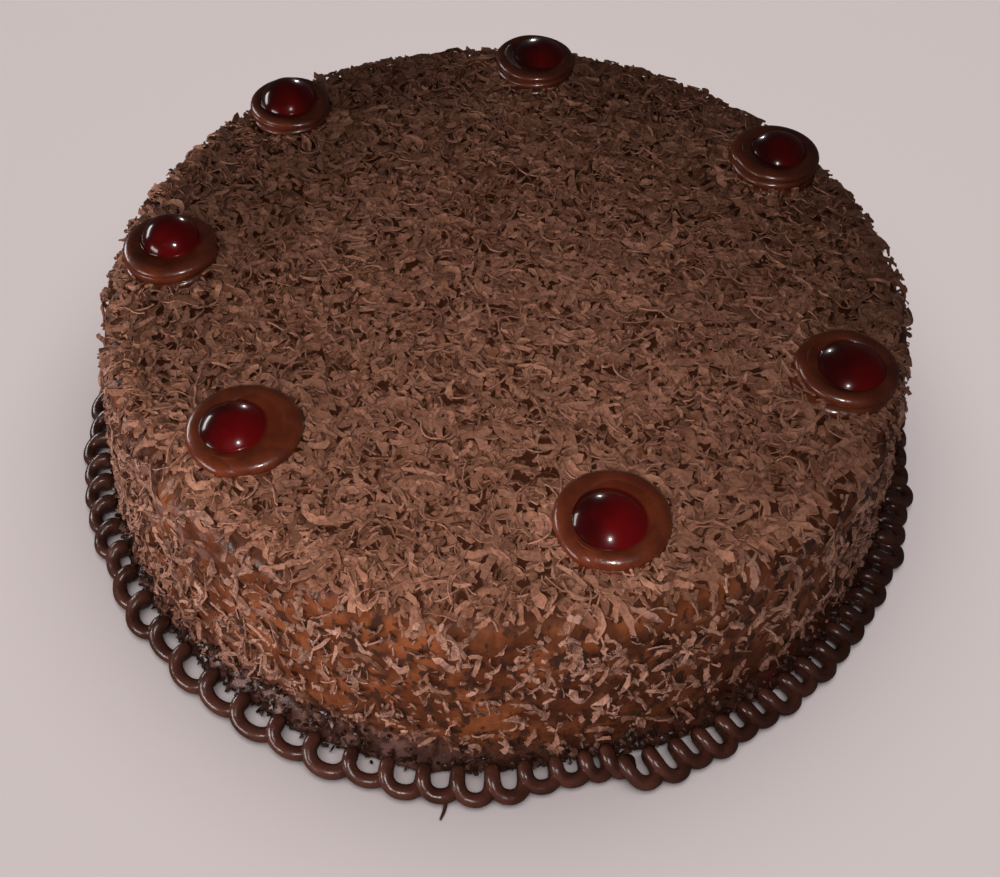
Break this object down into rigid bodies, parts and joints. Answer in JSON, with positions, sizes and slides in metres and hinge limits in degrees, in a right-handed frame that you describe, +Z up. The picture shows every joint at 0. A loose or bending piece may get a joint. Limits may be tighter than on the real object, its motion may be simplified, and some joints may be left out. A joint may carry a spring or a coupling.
{
  "type": "chocolate mud cake",
  "caption": "Whole round cake with a rounded rim, a ring of piped chocolate rosettes that each hold a glazed cherry, and a looped chocolate cord piped around its foot.",
  "frame": {"origin": "bottom centre of the whole cake, on the plane it rests on", "axes": "+Z up through the middle of the cake, -Y towards its front, +X to its right; the rosettes are numbered counter-clockwise from above, starting at the back left"},
  "size_m": [0.2723, 0.2701, 0.0785],
  "materials": {
    "ganache": "matte brown chocolate ganache under grated chocolate",
    "piped_cord": "glossy dark chocolate ganache",
    "piped_rosette": "satin dark chocolate cream",
    "cherry_glaze": "deep red glazed cherry, wet gloss"
  },
  "bodies": {
    "root": {"cake": "ganache", "piped_border": "piped_cord", "rosette_1": "piped_rosette", "rosette_2": "piped_rosette", "rosette_3": "piped_rosette", "rosette_4": "piped_rosette", "rosette_5": "piped_rosette", "rosette_6": "piped_rosette", "rosette_7": "piped_rosette", "cherry_1": "cherry_glaze", "cherry_2": "cherry_glaze", "cherry_3": "cherry_glaze", "cherry_4": "cherry_glaze", "cherry_5": "cherry_glaze", "cherry_6": "cherry_glaze", "cherry_7": "cherry_glaze"}
  },
  "joints": []
}
